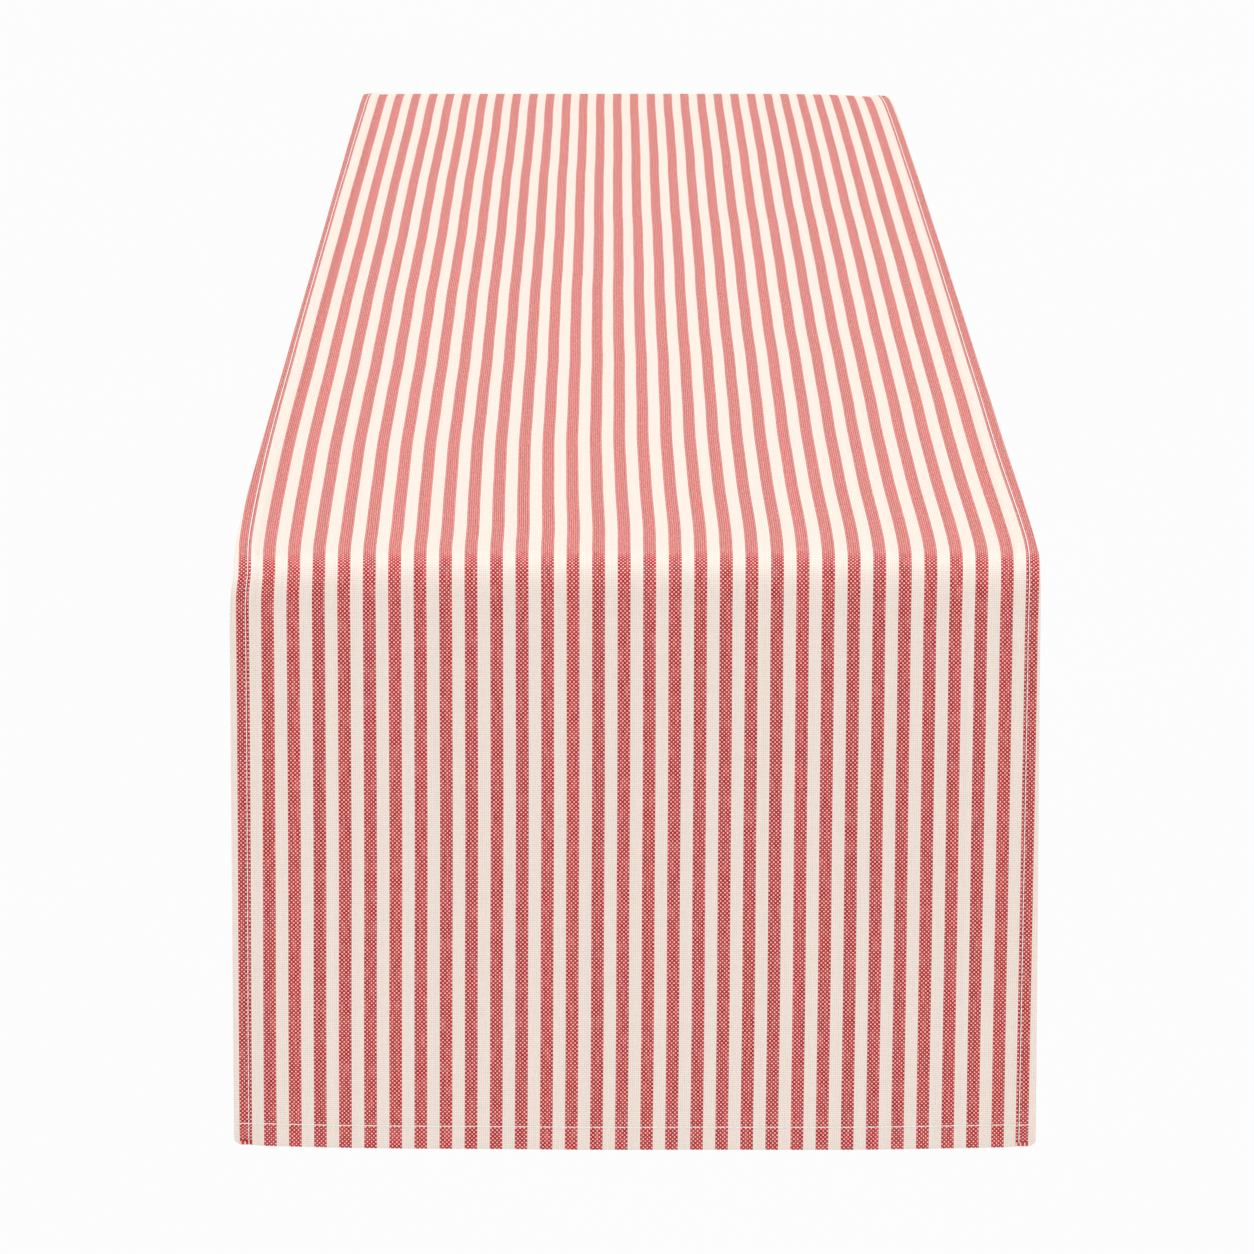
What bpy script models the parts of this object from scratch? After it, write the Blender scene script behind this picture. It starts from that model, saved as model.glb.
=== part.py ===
"""Table runner: one long strip of striped woven cotton with a double-turned hem on all four edges.

It lies over a tabletop and hangs down at both ends.

Frame: X across the runner, Y along it, Z up. The origin is the middle of the face that lies on
the tabletop. The front end hangs at -Y and the back end at +Y.

The cloth is divided only along the lines where it turns over the table's edge, because the two
hanging ends lift, and where a hem begins. A section is a list of (x, height) points, with the
height measured out from the tabletop or from the table's edge.
"""

from math import hypot, pi, radians

import bmesh
import bpy
from mathutils import Matrix, Vector

# Driving dimensions, in metres.
RUNNER_WIDTH = 0.330  # finished, side edge to side edge
RUNNER_LENGTH = 2.286  # finished, measured along the cloth from end to end
DROP_HEIGHT = 0.247  # from the tabletop down to each end
CLOTH_THICKNESS = 0.0006
TABLE_EDGE_RADIUS = 0.0155  # the inside of the turn over the table's edge
SIDE_HEM_DEPTH = 0.0078
END_HEM_DEPTH = 0.0114
STITCH_MARGIN = 0.0016  # from a hem's inner edge to its row of stitches
HEM_RAMP = 0.004  # over which the cloth rises from the table to the top of a side hem
THREAD_SIZE = 0.0003
BEND_STEPS = 8
HEM_LAYERS = 3  # the face of the cloth and the two turned layers behind it

# Clearances.
SEAM_GAP = 0.0003  # between pieces that touch

# Sizes worked out from the ones above.
HALF_WIDTH = RUNNER_WIDTH / 2
HEM_THICKNESS = HEM_LAYERS * CLOTH_THICKNESS
BEND_RADIUS = TABLE_EDGE_RADIUS + CLOTH_THICKNESS / 2  # at the middle of the cloth
BEND_LENGTH = BEND_RADIUS * pi / 2
HANG_LENGTH = DROP_HEIGHT - TABLE_EDGE_RADIUS
HALF_TOP = RUNNER_LENGTH / 2 - BEND_LENGTH - HANG_LENGTH
SIDE_STITCH_X = HALF_WIDTH - SIDE_HEM_DEPTH + STITCH_MARGIN
NEEDLE_HEIGHT = HEM_THICKNESS + SEAM_GAP
GROOVE_DEPTH = THREAD_SIZE + SEAM_GAP
END_HEM_TOP = END_HEM_DEPTH - DROP_HEIGHT

# Each hanging end turns about a line inside its bend. A quarter turn about it lays the end
# level with the top, as far out as the cloth is long.
AXIS_OUT = BEND_RADIUS * pi / 4
AXIS_DOWN = BEND_RADIUS * (1 - pi / 4)
AXIS_HEIGHT = CLOTH_THICKNESS / 2 - AXIS_DOWN
STACK_ABOVE_AXIS = NEEDLE_HEIGHT + THREAD_SIZE - AXIS_HEIGHT
SWING_IN = hypot(AXIS_OUT, STACK_ABOVE_AXIS) - AXIS_OUT
TOP_END = HALF_TOP - SWING_IN - SEAM_GAP

ENDS = {"front": -1, "back": 1}
SIDES = {"left": -1, "right": 1}

# Colour and roughness of each finish.
FINISHES = {
    "striped_cloth": ((0.66, 0.36, 0.33), 0.85),
    "hem_cloth": ((0.72, 0.42, 0.38), 0.85),
    "thread": ((0.88, 0.82, 0.74), 0.70),
}


def clear_scene():
    for obj in list(bpy.data.objects):
        bpy.data.objects.remove(obj, do_unlink=True)


def make_material(name, finish):
    colour, roughness = FINISHES[finish]
    material = bpy.data.materials.new(name)
    material.use_nodes = True
    shader = material.node_tree.nodes["Principled BSDF"]
    shader.inputs["Base Color"].default_value = (*colour, 1.0)
    shader.inputs["Roughness"].default_value = roughness
    shader.inputs["Metallic"].default_value = 0.0
    return material


def add_axis(end):
    """An empty on the line that a hanging end turns about."""
    empty = bpy.data.objects.new(f"{end}_lift_axis", None)
    empty.location = (0.0, ENDS[end] * (HALF_TOP + AXIS_OUT), AXIS_HEIGHT)
    bpy.context.collection.objects.link(empty)
    return empty


def add_piece(name, bm, finish, axis=None):
    """Turn a finished bmesh into the object of one sub-part, on its own joint's axis."""
    bmesh.ops.recalc_face_normals(bm, faces=bm.faces[:])
    if axis:
        bmesh.ops.transform(bm, matrix=Matrix.Translation(-axis.location), verts=bm.verts[:])
    mesh = bpy.data.meshes.new(name)
    bm.to_mesh(mesh)
    bm.free()
    mesh.shade_smooth()
    mesh.set_sharp_from_angle(angle=radians(30))
    mesh.materials.append(make_material(name, finish))
    obj = bpy.data.objects.new(name, mesh)
    obj.parent = axis
    bpy.context.collection.objects.link(obj)
    return obj


def section_on_top(bm, section, y):
    """Stand a section upright across the top, at y."""
    return bm.faces.new([bm.verts.new((x, y, height)) for x, height in section])


def section_on_drop(bm, section, end, z):
    """Lay a section across a hanging end, at z."""
    wall = HALF_TOP + TABLE_EDGE_RADIUS
    points = [(x, ENDS[end] * (wall + height), z) for x, height in section]
    return bm.faces.new([bm.verts.new(point) for point in points])


def extrude(bm, face, offset):
    made = bmesh.ops.extrude_face_region(bm, geom=[face, *face.edges, *face.verts])["geom"]
    moved = [part for part in made if isinstance(part, bmesh.types.BMVert)]
    bmesh.ops.translate(bm, vec=Vector(offset), verts=moved)


def bend(bm, face, end):
    """Turn a section over the table's edge and return the face that it ends with."""
    made = bmesh.ops.spin(
        bm,
        geom=[face, *face.edges, *face.verts],
        cent=(0.0, ENDS[end] * HALF_TOP, -TABLE_EDGE_RADIUS),
        axis=(-ENDS[end], 0.0, 0.0),
        angle=pi / 2,
        steps=BEND_STEPS,
    )
    return next(part for part in made["geom_last"] if isinstance(part, bmesh.types.BMFace))


def rectangle(x_low, x_high, low, high):
    return [(x_low, low), (x_high, low), (x_high, high), (x_low, high)]


def field_section():
    """The single layer of cloth between the side hems."""
    half = HALF_WIDTH - SIDE_HEM_DEPTH - HEM_RAMP - SEAM_GAP
    return rectangle(-half, half, 0.0, CLOTH_THICKNESS)


def side_hem_section(side):
    """The three layers of a side hem, with the cloth's rise up to them and the bobbin's groove."""
    hem_inner = HALF_WIDTH - SIDE_HEM_DEPTH
    groove_half = THREAD_SIZE / 2 + SEAM_GAP
    points = [
        (hem_inner - HEM_RAMP, 0.0),
        (SIDE_STITCH_X - groove_half, 0.0),
        (SIDE_STITCH_X - groove_half, GROOVE_DEPTH),
        (SIDE_STITCH_X + groove_half, GROOVE_DEPTH),
        (SIDE_STITCH_X + groove_half, 0.0),
        (HALF_WIDTH, 0.0),
        (HALF_WIDTH, HEM_THICKNESS),
        (hem_inner, HEM_THICKNESS),
        (hem_inner - HEM_RAMP, CLOTH_THICKNESS),
    ]
    return [(SIDES[side] * x, height) for x, height in points]


def side_thread_section(side, row):
    """The needle's thread lies on the face of a hem, the bobbin's in the groove behind it."""
    low = NEEDLE_HEIGHT if row == "needle" else 0.0
    middle = SIDES[side] * SIDE_STITCH_X
    return rectangle(middle - THREAD_SIZE / 2, middle + THREAD_SIZE / 2, low, low + THREAD_SIZE)


def build_top():
    """The cloth, hems and thread that lie on the tabletop."""
    strips = {"top_panel": (field_section(), "striped_cloth")}
    for side in SIDES:
        strips[f"top_hem_{side}"] = (side_hem_section(side), "hem_cloth")
        for row in ("needle", "bobbin"):
            strips[f"top_{row}_thread_{side}"] = (side_thread_section(side, row), "thread")
    for name, (section, finish) in strips.items():
        bm = bmesh.new()
        extrude(bm, section_on_top(bm, section, -TOP_END), (0.0, 2 * TOP_END, 0.0))
        add_piece(name, bm, finish)


def build_cloth(end, axis):
    """The field and the side hems of a hanging end: each turns over the edge, then hangs."""
    strips = {"panel": (field_section(), "striped_cloth")}
    for side in SIDES:
        strips[f"hem_{side}"] = (side_hem_section(side), "hem_cloth")
    hang_top = -TABLE_EDGE_RADIUS - SEAM_GAP
    hang_end = END_HEM_TOP + SEAM_GAP
    for name, (section, finish) in strips.items():
        turned = bmesh.new()
        bend(turned, section_on_top(turned, section, ENDS[end] * HALF_TOP), end)
        add_piece(f"{end}_bend_{name}", turned, finish, axis)
        hanging = bmesh.new()
        face = section_on_drop(hanging, section, end, hang_top)
        extrude(hanging, face, (0.0, 0.0, hang_end - hang_top))
        add_piece(f"{end}_drop_{name}", hanging, finish, axis)


def build_side_threads(end, axis):
    """Each row of stitches runs over the edge and down to the end hem in one length."""
    hang_end = END_HEM_TOP + SEAM_GAP
    for side in SIDES:
        for row in ("needle", "bobbin"):
            bm = bmesh.new()
            section = side_thread_section(side, row)
            last = bend(bm, section_on_top(bm, section, ENDS[end] * HALF_TOP), end)
            extrude(bm, last, (0.0, 0.0, hang_end + TABLE_EDGE_RADIUS))
            add_piece(f"{end}_{row}_thread_{side}", bm, "thread", axis)


def build_end_hem(end, axis):
    """The hem along the bottom of a hanging end, turned to the back, with its two threads."""
    hem_back = CLOTH_THICKNESS - HEM_THICKNESS
    hem = bmesh.new()
    section = rectangle(-HALF_WIDTH, HALF_WIDTH, hem_back, CLOTH_THICKNESS)
    extrude(hem, section_on_drop(hem, section, end, -DROP_HEIGHT), (0.0, 0.0, END_HEM_DEPTH))
    add_piece(f"{end}_end_hem", hem, "hem_cloth", axis)
    stitch_z = END_HEM_TOP - STITCH_MARGIN
    rows = {"needle": CLOTH_THICKNESS + SEAM_GAP, "bobbin": hem_back - SEAM_GAP - THREAD_SIZE}
    for row, low in rows.items():
        bm = bmesh.new()
        section = rectangle(-HALF_WIDTH, HALF_WIDTH, low, low + THREAD_SIZE)
        face = section_on_drop(bm, section, end, stitch_z - THREAD_SIZE / 2)
        extrude(bm, face, (0.0, 0.0, THREAD_SIZE))
        add_piece(f"{end}_end_{row}_thread", bm, "thread", axis)


def main():
    clear_scene()
    build_top()
    for end in ENDS:
        axis = add_axis(end)
        build_cloth(end, axis)
        build_side_threads(end, axis)
        build_end_hem(end, axis)


main()
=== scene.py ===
"""The looks of a striped cotton table runner: its cloth, its hems and every stitch in them.

The runner lies over a tabletop that isn't shown, and hangs down at both ends. Each half of the
cloth is one sheet, from the middle of the top to its own end, shaped to bend where it turns
over the table's edge. X is across the runner, Y along it and Z up, in metres.
"""

import math

import bmesh
import bpy
import numpy as np
from bpy.props import FloatProperty, FloatVectorProperty, IntProperty, PointerProperty
from mathutils import Matrix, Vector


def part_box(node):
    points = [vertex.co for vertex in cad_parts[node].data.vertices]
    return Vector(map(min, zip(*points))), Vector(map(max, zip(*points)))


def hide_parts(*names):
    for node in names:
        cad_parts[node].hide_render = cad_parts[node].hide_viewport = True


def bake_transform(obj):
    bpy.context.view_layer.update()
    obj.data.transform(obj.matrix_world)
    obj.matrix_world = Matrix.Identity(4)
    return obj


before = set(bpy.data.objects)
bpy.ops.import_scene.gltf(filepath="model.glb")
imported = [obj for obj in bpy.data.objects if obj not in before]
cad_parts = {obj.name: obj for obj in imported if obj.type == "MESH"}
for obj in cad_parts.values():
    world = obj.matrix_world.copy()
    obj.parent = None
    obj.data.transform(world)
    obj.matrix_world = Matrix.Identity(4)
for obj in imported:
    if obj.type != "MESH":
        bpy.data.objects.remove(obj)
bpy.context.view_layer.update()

bl_info = {
    "name": "Striped Table Runner",
    "version": (1, 0, 0),
    "blender": (4, 5, 0),
    "location": "View3D > Sidebar > Table Runner",
    "description": "Makes the cloth, hems and stitches of a striped cotton table runner",
    "category": "Add Mesh",
}

ENDS = {"front": -1, "back": 1}
SIDES = {"left": -1, "right": 1}
ROWS = ("needle", "bobbin")
MM = 0.001
CLOTH_MAP = "Cloth"
PLY_ATTRIBUTE = "Ply"

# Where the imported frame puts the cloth, its hems and its rows of stitches.
TOP_LOW, TOP_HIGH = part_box("top_panel")
BEND_LOW, BEND_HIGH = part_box("front_bend_panel")
END_HEM_LOW, END_HEM_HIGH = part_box("front_end_hem")
SIDE_HEM_LOW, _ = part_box("top_hem_right")
SIDE_ROW_LOW, SIDE_ROW_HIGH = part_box("top_needle_thread_right")
END_ROW_LOW, END_ROW_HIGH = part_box("front_end_needle_thread")

HALF_WIDTH = END_HEM_HIGH.x
CLOTH_THICKNESS = TOP_HIGH.z - TOP_LOW.z
HALF_TOP = -BEND_HIGH.y
EDGE_RADIUS = -BEND_LOW.z
WALL = HALF_TOP + EDGE_RADIUS  # from the middle out to the back of a hanging end
DROP = -END_HEM_LOW.z
END_HEM_DEPTH = END_HEM_HIGH.z - END_HEM_LOW.z
RAMP_START = SIDE_HEM_LOW.x
SIDE_ROW_X = (SIDE_ROW_LOW.x + SIDE_ROW_HIGH.x) / 2
END_ROW_RISE = DROP + (END_ROW_LOW.z + END_ROW_HIGH.z) / 2  # above the bottom edge


def smooth(value, low, high):
    """0 below low, 1 above high, and a smooth rise between them."""
    t = np.clip((value - low) / (high - low), 0.0, 1.0)
    return t * t * (3 - 2 * t)


def ripple(waves, x, other, start):
    """A sum of sine waves. Each wave's own start is a multiple of start."""
    return sum(
        height * np.sin(across * x + along * other + shift * start)
        for height, across, along, shift in waves
    )


# ---------------------------------------------------------------- sizes and colours


class ClothSettings(bpy.types.PropertyGroup):
    hem_margin: FloatProperty(
        name="Hem margin",
        description="From a side hem's row of stitches to its inner edge",
        default=0.0016,
        unit="LENGTH",
    )
    layer_spacing: FloatProperty(
        name="Layer spacing",
        description="Height of one layer of a hem, as a share of the cloth's thickness",
        default=1.1,
    )
    corner_radius: FloatProperty(
        name="Corner radius",
        description="Rounding of the runner's four corners",
        default=0.0034,
        unit="LENGTH",
    )
    ease_in: FloatProperty(
        name="Ease in",
        description="Length of the turn over the table's edge, as a share of a quarter circle",
        default=1.15,
    )
    row_spacing: FloatProperty(
        name="Row spacing",
        description="Length of the mesh's faces along the runner",
        default=0.005,
        unit="LENGTH",
    )
    column_spacing: FloatProperty(
        name="Column spacing",
        description="Width of the mesh's faces across the runner",
        default=0.005,
        unit="LENGTH",
    )
    stripe_repeat: IntProperty(
        name="Stripe repeat",
        description="Warp threads in one red and one cream stripe",
        default=12,
    )
    red_threads: IntProperty(
        name="Red threads",
        description="Warp threads in one red stripe",
        default=6,
    )
    thread_pitch: FloatProperty(
        name="Thread pitch",
        description="Distance between the middles of neighbouring threads",
        default=0.0008615,
        precision=5,
        unit="LENGTH",
    )
    red: FloatVectorProperty(
        name="Red warp",
        description="Colour of the red lengthwise threads",
        default=(0.43, 0.022, 0.026),
        subtype="COLOR",
    )
    pink: FloatVectorProperty(
        name="Pink weft",
        description="Colour of a cream crosswise thread between red lengthwise ones",
        default=(1.0, 0.46, 0.425),
        subtype="COLOR",
    )
    cream: FloatVectorProperty(
        name="Cream yarn",
        description="Colour of the cream threads, both ways",
        default=(0.88, 0.765, 0.686),
        subtype="COLOR",
    )


class DrapeSettings(bpy.types.PropertyGroup):
    wave: FloatProperty(
        name="Wave",
        description="How far a hanging end stands in or out of flat",
        default=0.0011,
        unit="LENGTH",
    )
    bow: FloatProperty(
        name="Bow",
        description="How much higher the corners hang than the middle of an end",
        default=0.0017,
        unit="LENGTH",
    )
    tilt: FloatProperty(
        name="Tilt",
        description="How far an end hangs askew, low at its right corner and high at its left",
        default=0.00045,
        precision=5,
        unit="LENGTH",
    )
    drift: FloatProperty(
        name="Stripe drift",
        description="How far the stripes wander sideways",
        default=0.00015,
        precision=5,
        unit="LENGTH",
    )
    spread: FloatProperty(
        name="Spread",
        description="How much wider the cloth lies in the middle of the top than it was woven",
        default=0.018,
    )
    creep: FloatProperty(
        name="Creep",
        description="How far the stripes have slid to the left of the middle line on the top",
        default=0.0008,
        precision=5,
        unit="LENGTH",
    )
    tuck: FloatProperty(
        name="Tuck",
        description="How far one side edge draws in where it turns over the table's edge",
        default=0.0016,
        unit="LENGTH",
    )
    droop: FloatProperty(
        name="Droop",
        description="How far that side edge sinks there. The other sinks less, and only at its hem",
        default=0.0031,
        unit="LENGTH",
    )
    lift: FloatProperty(
        name="Lift",
        description="How far the cloth lifts off the tabletop",
        default=0.0004,
        unit="LENGTH",
    )


class StitchSettings(bpy.types.PropertyGroup):
    stitches_across: IntProperty(
        name="Stitches across",
        description="Stitches in the row along each end hem",
        default=96,
    )
    thread_radius: FloatProperty(
        name="Thread radius",
        description="Radius of the sewing thread",
        default=0.00022,
        precision=5,
        unit="LENGTH",
    )
    pull: FloatProperty(
        name="Pull",
        description="How deep the stitches press into the hem",
        default=0.00014,
        precision=5,
        unit="LENGTH",
    )
    sink: FloatProperty(
        name="Sink",
        description="How deep the thread dives at each needle hole",
        default=0.00032,
        precision=5,
        unit="LENGTH",
    )
    colour: FloatVectorProperty(
        name="Thread colour",
        description="Colour of the sewing thread",
        default=(0.97, 0.93, 0.89),
        subtype="COLOR",
    )


class StageSettings(bpy.types.PropertyGroup):
    floor_depth: FloatProperty(
        name="Floor depth",
        description="From the tabletop down to the floor",
        default=3.0,
        unit="LENGTH",
    )
    camera_distance: FloatProperty(
        name="Camera distance",
        description="From the front hanging end to the camera",
        default=3.2343,
        unit="LENGTH",
    )
    camera_height: FloatProperty(
        name="Camera height",
        description="Above the tabletop",
        default=0.5305,
        unit="LENGTH",
    )
    camera_aside: FloatProperty(
        name="Camera aside",
        description="To the right of the runner's middle line",
        default=-0.0092,
        unit="LENGTH",
    )
    camera_pitch: FloatProperty(
        name="Camera pitch",
        description="Below the horizon",
        default=math.radians(9.802),
        subtype="ANGLE",
        unit="ROTATION",
    )
    camera_yaw: FloatProperty(
        name="Camera yaw",
        description="To the right of the runner's length",
        default=math.radians(0.105),
        subtype="ANGLE",
        unit="ROTATION",
    )
    lens: FloatProperty(
        name="Lens",
        description="Focal length in millimetres",
        default=231.5,
    )
    sky: FloatProperty(
        name="Sky",
        description="Strength of the even light from all round",
        default=1.05,
    )
    sun: FloatProperty(
        name="Sun",
        description="Strength of the soft light from above",
        default=1.04,
    )


class RunnerSettings(bpy.types.PropertyGroup):
    cloth: PointerProperty(type=ClothSettings)
    drape: PointerProperty(type=DrapeSettings)
    stitch: PointerProperty(type=StitchSettings)
    stage: PointerProperty(type=StageSettings)


# ---------------------------------------------------------------- the runner's shape


class Drape:
    """Turns places on the flat cloth into points in space, for one end of the runner.

    A place is (across, along, height). Across is measured from the middle line. Along is
    measured on the cloth from the middle of the top, down the hanging end and on round the
    turns of the end hem. Height is above the cloth's back.
    """

    HEM_FOLD_STEPS = 6
    BEND_STEPS = 24
    FINE_STEPS = 40  # in each step of the bend
    RAMP_PLACES = 8
    INNER_TURN_STEPS = 3
    GROOVE_WIDTH = 3  # in radii of the thread
    GROOVE_PLACES = np.linspace(-2, 2, 9)  # in widths of the groove, from its middle
    CLEAR_OF_GROOVE = 2.5  # in widths of the groove, to the nearest evenly spaced place
    TURN_GAP = 0.01 * MM
    CUT_EDGE_GAP = MM  # from the cloth's cut edge to the fold that holds it

    # The spread of the stripes.
    SPREAD_FADE = 0.55  # share of it lost on the top, times the square of metres from the middle
    SPREAD_LEFT = 0.2  # share of it left where the end starts to hang
    SPREAD_FALL = 1.4  # share of it lost per metre of hanging cloth
    SPREAD_BLEND = 0.03  # from the bend to where the top's spread, or the end's, holds alone
    SLIDE_REACH = 0.2  # the slide to the right is gone at twice this from the front edge

    # How far down and back from the table's edge a side edge is drawn in and sinks.
    REACH_DOWN = 0.014
    REACH_BACK = 0.05
    OTHER_SIDE_DROOP = 0.6
    FLAT_BESIDE_BEND = 0.05  # the top stops swelling over this distance before it bends

    # Waves: (height, radians per metre across, radians per metre the other way, start).
    HANG_WAVES = ((0.55, 27, 0, 1.1), (0.3, 61, 11, 1.0), (0.25, 9, 24, -1.0))
    HANG_SWAY = ((1.0, 7, 21, 1.0), (0.4, -19, 55, 0.0))
    TOP_SWAY = ((1.0, 5, 13, 0.0), (0.5, -8, 37, 0.7))
    TOP_SWELLS = ((1.0, 6, 19, 0.0), (1.0, 31, 4, math.pi / 2))
    WAVE_START = 1.3

    def __init__(self, end, settings):
        cloth, drape, stitch = settings.cloth, settings.drape, settings.stitch
        self.sign = ENDS[end]
        self.shape = drape
        self.corner_radius = cloth.corner_radius
        self.layer = CLOTH_THICKNESS * cloth.layer_spacing
        self.hem_inner = SIDE_ROW_X - cloth.hem_margin
        self.pull = stitch.pull
        self.groove = self.GROOVE_WIDTH * stitch.thread_radius
        self.ease_in = cloth.ease_in
        self.row_spacing = cloth.row_spacing
        self.column_spacing = cloth.column_spacing
        self.rows = self.lengthwise_rows()
        self.columns = self.crosswise_columns()

    # Across the runner.

    def hem_share(self, x):
        """0 over the field, 1 over a side hem."""
        return smooth(np.abs(x), RAMP_START, self.hem_inner)

    def stack(self, x):
        """Height of all the layers at x."""
        return self.layer * (1 + 2 * self.hem_share(x))

    def side_groove(self, x, along, height):
        """How far a side hem's face is pulled down, and its back up, beside the stitches."""
        woven = x - self.stripe_shift(x, along)
        share = np.clip(height / self.layer - 1.5, -1.0, 1.0)
        near = np.exp(-(((np.abs(woven) - SIDE_ROW_X) / self.groove) ** 2))
        return self.pull * near * share * self.hem_share(x)

    def stripe_shift(self, x, along):
        """How far the cloth's threads lie from where the loom put them, across the runner.

        The cloth has been smoothed outwards on the top, and its side hems roll under there. It
        has slid a little to the left, but to the right where it turns down at the front.
        """
        shape = self.shape
        on_top = shape.spread * (1 - self.SPREAD_FADE * along**2)
        hanging = shape.spread * (self.SPREAD_LEFT - self.SPREAD_FALL * (along - WALL))
        turned = smooth(along, HALF_TOP - self.SPREAD_BLEND, WALL + self.SPREAD_BLEND)
        slid = 2 * np.exp(-(((self.sign * along + WALL) / self.SLIDE_REACH) ** 2)) - 1
        return x * (on_top * (1 - turned) + hanging * turned) + shape.creep * slid

    def crosswise_columns(self):
        """(distance on the flat cloth, x, height) from the middle to a side's cut edge."""
        layer = self.layer
        fold_x = HALF_WIDTH - CLOTH_THICKNESS / 2 - layer
        turn_x = self.hem_inner + layer / 2
        field_steps = round(RAMP_START / self.column_spacing)
        field = np.linspace(0.0, RAMP_START, field_steps, endpoint=False)
        ramp = np.linspace(RAMP_START, self.hem_inner, self.RAMP_PLACES)
        steps = round((fold_x - self.hem_inner) / self.groove * 2)
        over = np.linspace(self.hem_inner, fold_x, steps)[1:]
        face_x = np.concatenate([field, ramp, over])
        face_h = layer * (0.5 + 2 * self.hem_share(face_x))
        angles = np.linspace(0.0, math.pi, self.HEM_FOLD_STEPS + 1)[1:]
        fold = (fold_x + layer * np.sin(angles), layer * (1.5 + np.cos(angles)))
        under_x = np.linspace(fold_x, turn_x, steps // 2)[1:]
        under = (under_x, np.full_like(under_x, 0.5 * layer))
        turn = (turn_x - layer / 2 * np.sin(angles), layer * (1 - np.cos(angles) / 2))
        inside_x = np.linspace(turn_x, fold_x - self.CUT_EDGE_GAP, self.INNER_TURN_STEPS + 1)[1:]
        inside = (inside_x, np.full_like(inside_x, 1.5 * layer))
        parts = [(face_x, face_h), fold, under, turn, inside]
        x = np.concatenate([part[0] for part in parts])
        h = np.concatenate([part[1] for part in parts])
        flat = np.concatenate([[0.0], np.cumsum(np.hypot(np.diff(x), np.diff(h)))])
        self.side_row = float(np.interp(SIDE_ROW_X, face_x, flat[: len(face_x)]))
        return flat, x, h

    # Along the runner.

    def lengthwise_rows(self):
        """The line of the cloth's back, from the middle of the top to an end's cut edge.

        Each row is (along, out, out per stack, z, z per stack, angle of the face from straight
        up). The turns of the end hem are wider where the stack of layers is higher.
        """
        bend, bend_length = self.bend_rows()
        flat_length = WALL - bend[-1][1]
        steps = round(flat_length / self.row_spacing)
        rows = [(s, s, 0.0, 0.0, 0.0, 0.0) for s in np.linspace(0.0, flat_length, steps + 1)]
        for length, out, down, angle in bend[1:]:
            rows.append((flat_length + length, flat_length + out, 0.0, -down, 0.0, angle))
        along = flat_length + bend_length
        bend_depth = bend[-1][2]
        hang = DROP - bend_depth - 1.5 * self.layer
        stitches_at = DROP - bend_depth - END_ROW_RISE
        self.face_row = along + stitches_at
        for share in self.with_stitch_rows(hang, stitches_at):
            down = share * hang
            taken_up = 1.5 * max(0.0, (down - stitches_at) / (hang - stitches_at))
            z = -bend_depth - down - taken_up * self.layer
            rows.append((along + down, WALL, 0.0, z, taken_up, math.pi / 2))
        along += hang
        turn = np.linspace(0.0, math.pi, self.HEM_FOLD_STEPS + 1)[1:]
        for angle in turn:
            facing = math.pi / 2 + angle
            out = math.sin(facing) / 2 - 0.5
            z = 1.5 + math.cos(facing) / 2
            rows.append((along + self.layer * angle, WALL, out, -DROP, z, facing))
        along += self.layer * math.pi
        rise = END_HEM_DEPTH - 2.5 * self.layer
        self.back_row = along + END_ROW_RISE - 1.5 * self.layer
        for share in self.with_stitch_rows(rise, END_ROW_RISE - 1.5 * self.layer):
            z = share * END_HEM_DEPTH - DROP
            per_stack = 1.5 - 2.5 * share
            rows.append((along + share * rise, WALL, -1.0, z, per_stack, 1.5 * math.pi))
        along += rise
        top = END_HEM_DEPTH - DROP
        for angle in turn:
            facing = 1.5 * math.pi + angle
            out = WALL + self.TURN_GAP * (1 + math.sin(facing))
            rows.append((along + self.layer / 2 * angle, out, -1.0, top, -1.0, facing))
        along += self.layer / 2 * math.pi
        for share in np.linspace(0.0, 1.0, self.INNER_TURN_STEPS + 1)[1:]:
            z = top - share * (END_HEM_DEPTH - self.CUT_EDGE_GAP)
            per_stack = 2.5 * share - 1.0
            out = WALL + 2 * self.TURN_GAP
            rows.append((along + share * rise, out, -1.0, z, per_stack, 2.5 * math.pi))
        return np.array(rows)

    def bend_rows(self):
        """(length, out, down, angle) along the turn over the table's edge, and its length.

        The cloth's stiffness eases it in and out of the turn, which is tightest in its middle.
        """
        length = math.pi / 2 * EDGE_RADIUS * self.ease_in
        fine = np.linspace(0.0, 1.0, self.FINE_STEPS * self.BEND_STEPS + 1)
        angles = math.pi / 2 * smooth(fine, 0.0, 1.0)
        middles = (angles[1:] + angles[:-1]) / 2
        step = length / len(middles)
        out = np.concatenate([[0.0], np.cumsum(np.cos(middles))]) * step
        down = np.concatenate([[0.0], np.cumsum(np.sin(middles))]) * step
        rows = np.stack([fine * length, out, down, angles], axis=-1)[:: self.FINE_STEPS]
        return rows.tolist(), length

    def with_stitch_rows(self, length, stitches_at):
        """Shares of a length, closer together where a row of stitches crosses it."""
        even = np.linspace(0.0, length, max(3, round(length / self.row_spacing)) + 1)
        close = stitches_at + self.GROOVE_PLACES * self.groove
        even = even[np.abs(even - stitches_at) > self.CLEAR_OF_GROOVE * self.groove]
        places = np.unique(np.concatenate([even, close, [length]]))
        return places[(places > 0) & (places <= length)] / length

    def end_groove(self, along):
        """How deep the end hem's stitches pull, on the face and on the back of the hem."""
        deep = 0.0
        for middle in (self.face_row, self.back_row):
            deep = deep + np.exp(-(((along - middle) / self.groove) ** 2))
        return self.pull * deep

    # In space.

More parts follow.
